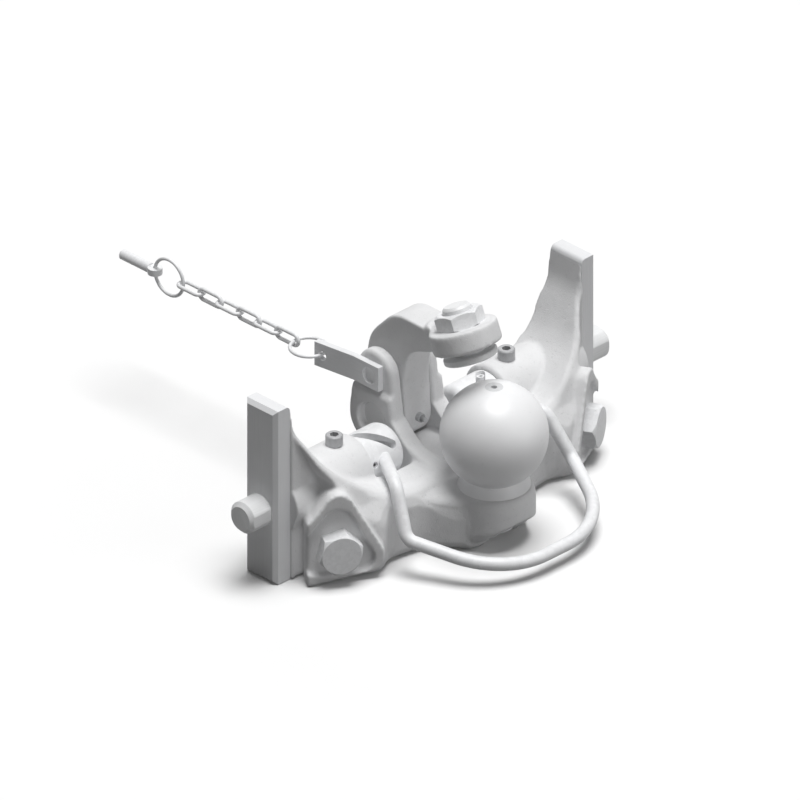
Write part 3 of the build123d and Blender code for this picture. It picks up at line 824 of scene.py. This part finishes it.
class HITCH_OT_chain(bpy.types.Operator):
    """Finishes the lock pin with its flag plate, the rings, the links and the linch pin"""
    bl_idname = "hitch.chain"
    bl_label = "Lock and chain"

    def execute(self, context):
        sizes, colours = context.scene.hitch_sizes, context.scene.hitch_colours
        flag = drawn_finish("rolled_plate", colours.bar, (1.0, 0.03, 1.0))
        look(NODES["lock_flag"], flag)
        broken_edges(NODES["lock_flag"], sizes.plate_edge)
        look(NODES["lock_pin"], drawn_finish("lock_steel", colours.pin, (0.03, 1.0, 1.0)))
        wire = zinc_finish("chain_plating", colours.zinc, 700.0, metallic=0.10)
        links = [node for node in NODES if node.startswith("chain_link")]
        for node in links + ["near_ring", "far_ring", "linch_pin"]:
            look(NODES[node], wire)
        return ready(links)


def aimed(piece, target):
    piece.rotation_euler = (Vector(target) - piece.location).to_track_quat("-Z", "Y").to_euler()


def lamp(name, place, energy, spread, shadow=True):
    """A sun that shines from this place towards the middle of the frame."""
    data = bpy.data.lights.new(name, "SUN")
    data.energy = energy
    data.angle = spread
    data.use_shadow = shadow
    piece = linked(name, data)
    piece.location = place
    aimed(piece, (0.0, 0.0, 0.0))


def studio_floor(colour):
    """A plain square floor just under the part."""
    mesh = bpy.data.meshes.new("studio_floor")
    ground = FLOOR_Z - FLOOR_GAP
    outline = ((-1, -1), (1, -1), (1, 1), (-1, 1))
    corners = [(x * FLOOR_REACH, y * FLOOR_REACH, ground) for x, y in outline]
    mesh.from_pydata(corners, [], [(0, 1, 2, 3)])
    floor = linked("studio_floor", mesh)
    look(floor, floor_finish(colour))
    return floor


def studio_world():
    """A world that is pale to the camera and in the metal, and dim as a light on the pieces."""
    world = bpy.data.worlds.new("studio_world")
    world.use_nodes = True
    world.node_tree.nodes.clear()
    light = NodeTree(world.node_tree)
    dim = light.node("ShaderNodeBackground", {}, {"Color": WHITE, "Strength": WORLD_FILL})
    pale = light.node("ShaderNodeBackground", {}, {"Color": WHITE, "Strength": 1.0})
    blend = light.node("ShaderNodeMixShader", {}, {"Fac": light.pale_rays(), 1: dim, 2: pale})
    light.node("ShaderNodeOutputWorld", {}, {"Surface": blend})
    return world


def photo_camera(width):
    """A camera without perspective, which looks at the part as the photograph does."""
    data = bpy.data.cameras.new("photo_view")
    data.type = "ORTHO"
    data.ortho_scale = width
    data.clip_end = 10.0
    camera = linked("photo_view", data)
    camera.location = CAMERA_AIM - CAMERA_FORWARD.normalized() * CAMERA_DISTANCE
    aimed(camera, CAMERA_AIM)
    return camera


class HITCH_OT_stage(bpy.types.Operator):
    """Sets up the floor, the soft studio light, the pale world and the camera"""
    bl_idname = "hitch.stage"
    bl_label = "Studio"

    def execute(self, context):
        scene = context.scene
        floor = studio_floor(scene.hitch_colours.floor)
        scene.world = studio_world()
        lamp("top_light", (0.10, -0.14, 2.0), 3.1, radians(34))
        lamp("front_fill", (0.7, -2.0, 0.8), 0.66, FILL_SPREAD, shadow=False)
        lamp("back_fill", (1.8, 1.8, 0.9), 0.35, FILL_SPREAD, shadow=False)
        scene.camera = photo_camera(scene.hitch_sizes.view_width)
        scene.view_settings.view_transform = "Standard"
        return ready(scene.camera)


class HITCH_PT_panel(bpy.types.Panel):
    """Lists the steps that dress the hitch"""
    bl_label = "Ball hitch"
    bl_idname = "HITCH_PT_panel"
    bl_space_type = "VIEW_3D"
    bl_region_type = "UI"
    bl_category = "Hitch"

    def draw(self, context):
        for step in STEPS:
            self.layout.operator(step.bl_idname)
        for group in (context.scene.hitch_sizes, context.scene.hitch_colours):
            for name in group.__annotations__:
                self.layout.prop(group, name)


STEPS = (
    HITCH_OT_casting,
    HITCH_OT_guides,
    HITCH_OT_ball,
    HITCH_OT_locking,
    HITCH_OT_spindle,
    HITCH_OT_chain,
    HITCH_OT_stage,
)
CLASSES = (HitchSizes, HitchColours, HITCH_PT_panel) + STEPS


def register():
    for item in CLASSES:
        bpy.utils.register_class(item)
    bpy.types.Scene.hitch_sizes = bpy.props.PointerProperty(type=HitchSizes)
    bpy.types.Scene.hitch_colours = bpy.props.PointerProperty(type=HitchColours)


def unregister():
    del bpy.types.Scene.hitch_colours
    del bpy.types.Scene.hitch_sizes
    for item in reversed(CLASSES):
        bpy.utils.unregister_class(item)


def main():
    register()
    bpy.ops.hitch.casting()
    bpy.ops.hitch.guides()
    bpy.ops.hitch.ball()
    bpy.ops.hitch.locking()
    bpy.ops.hitch.spindle()
    bpy.ops.hitch.chain()
    bpy.ops.hitch.stage()


if __name__ == "__main__":
    main()
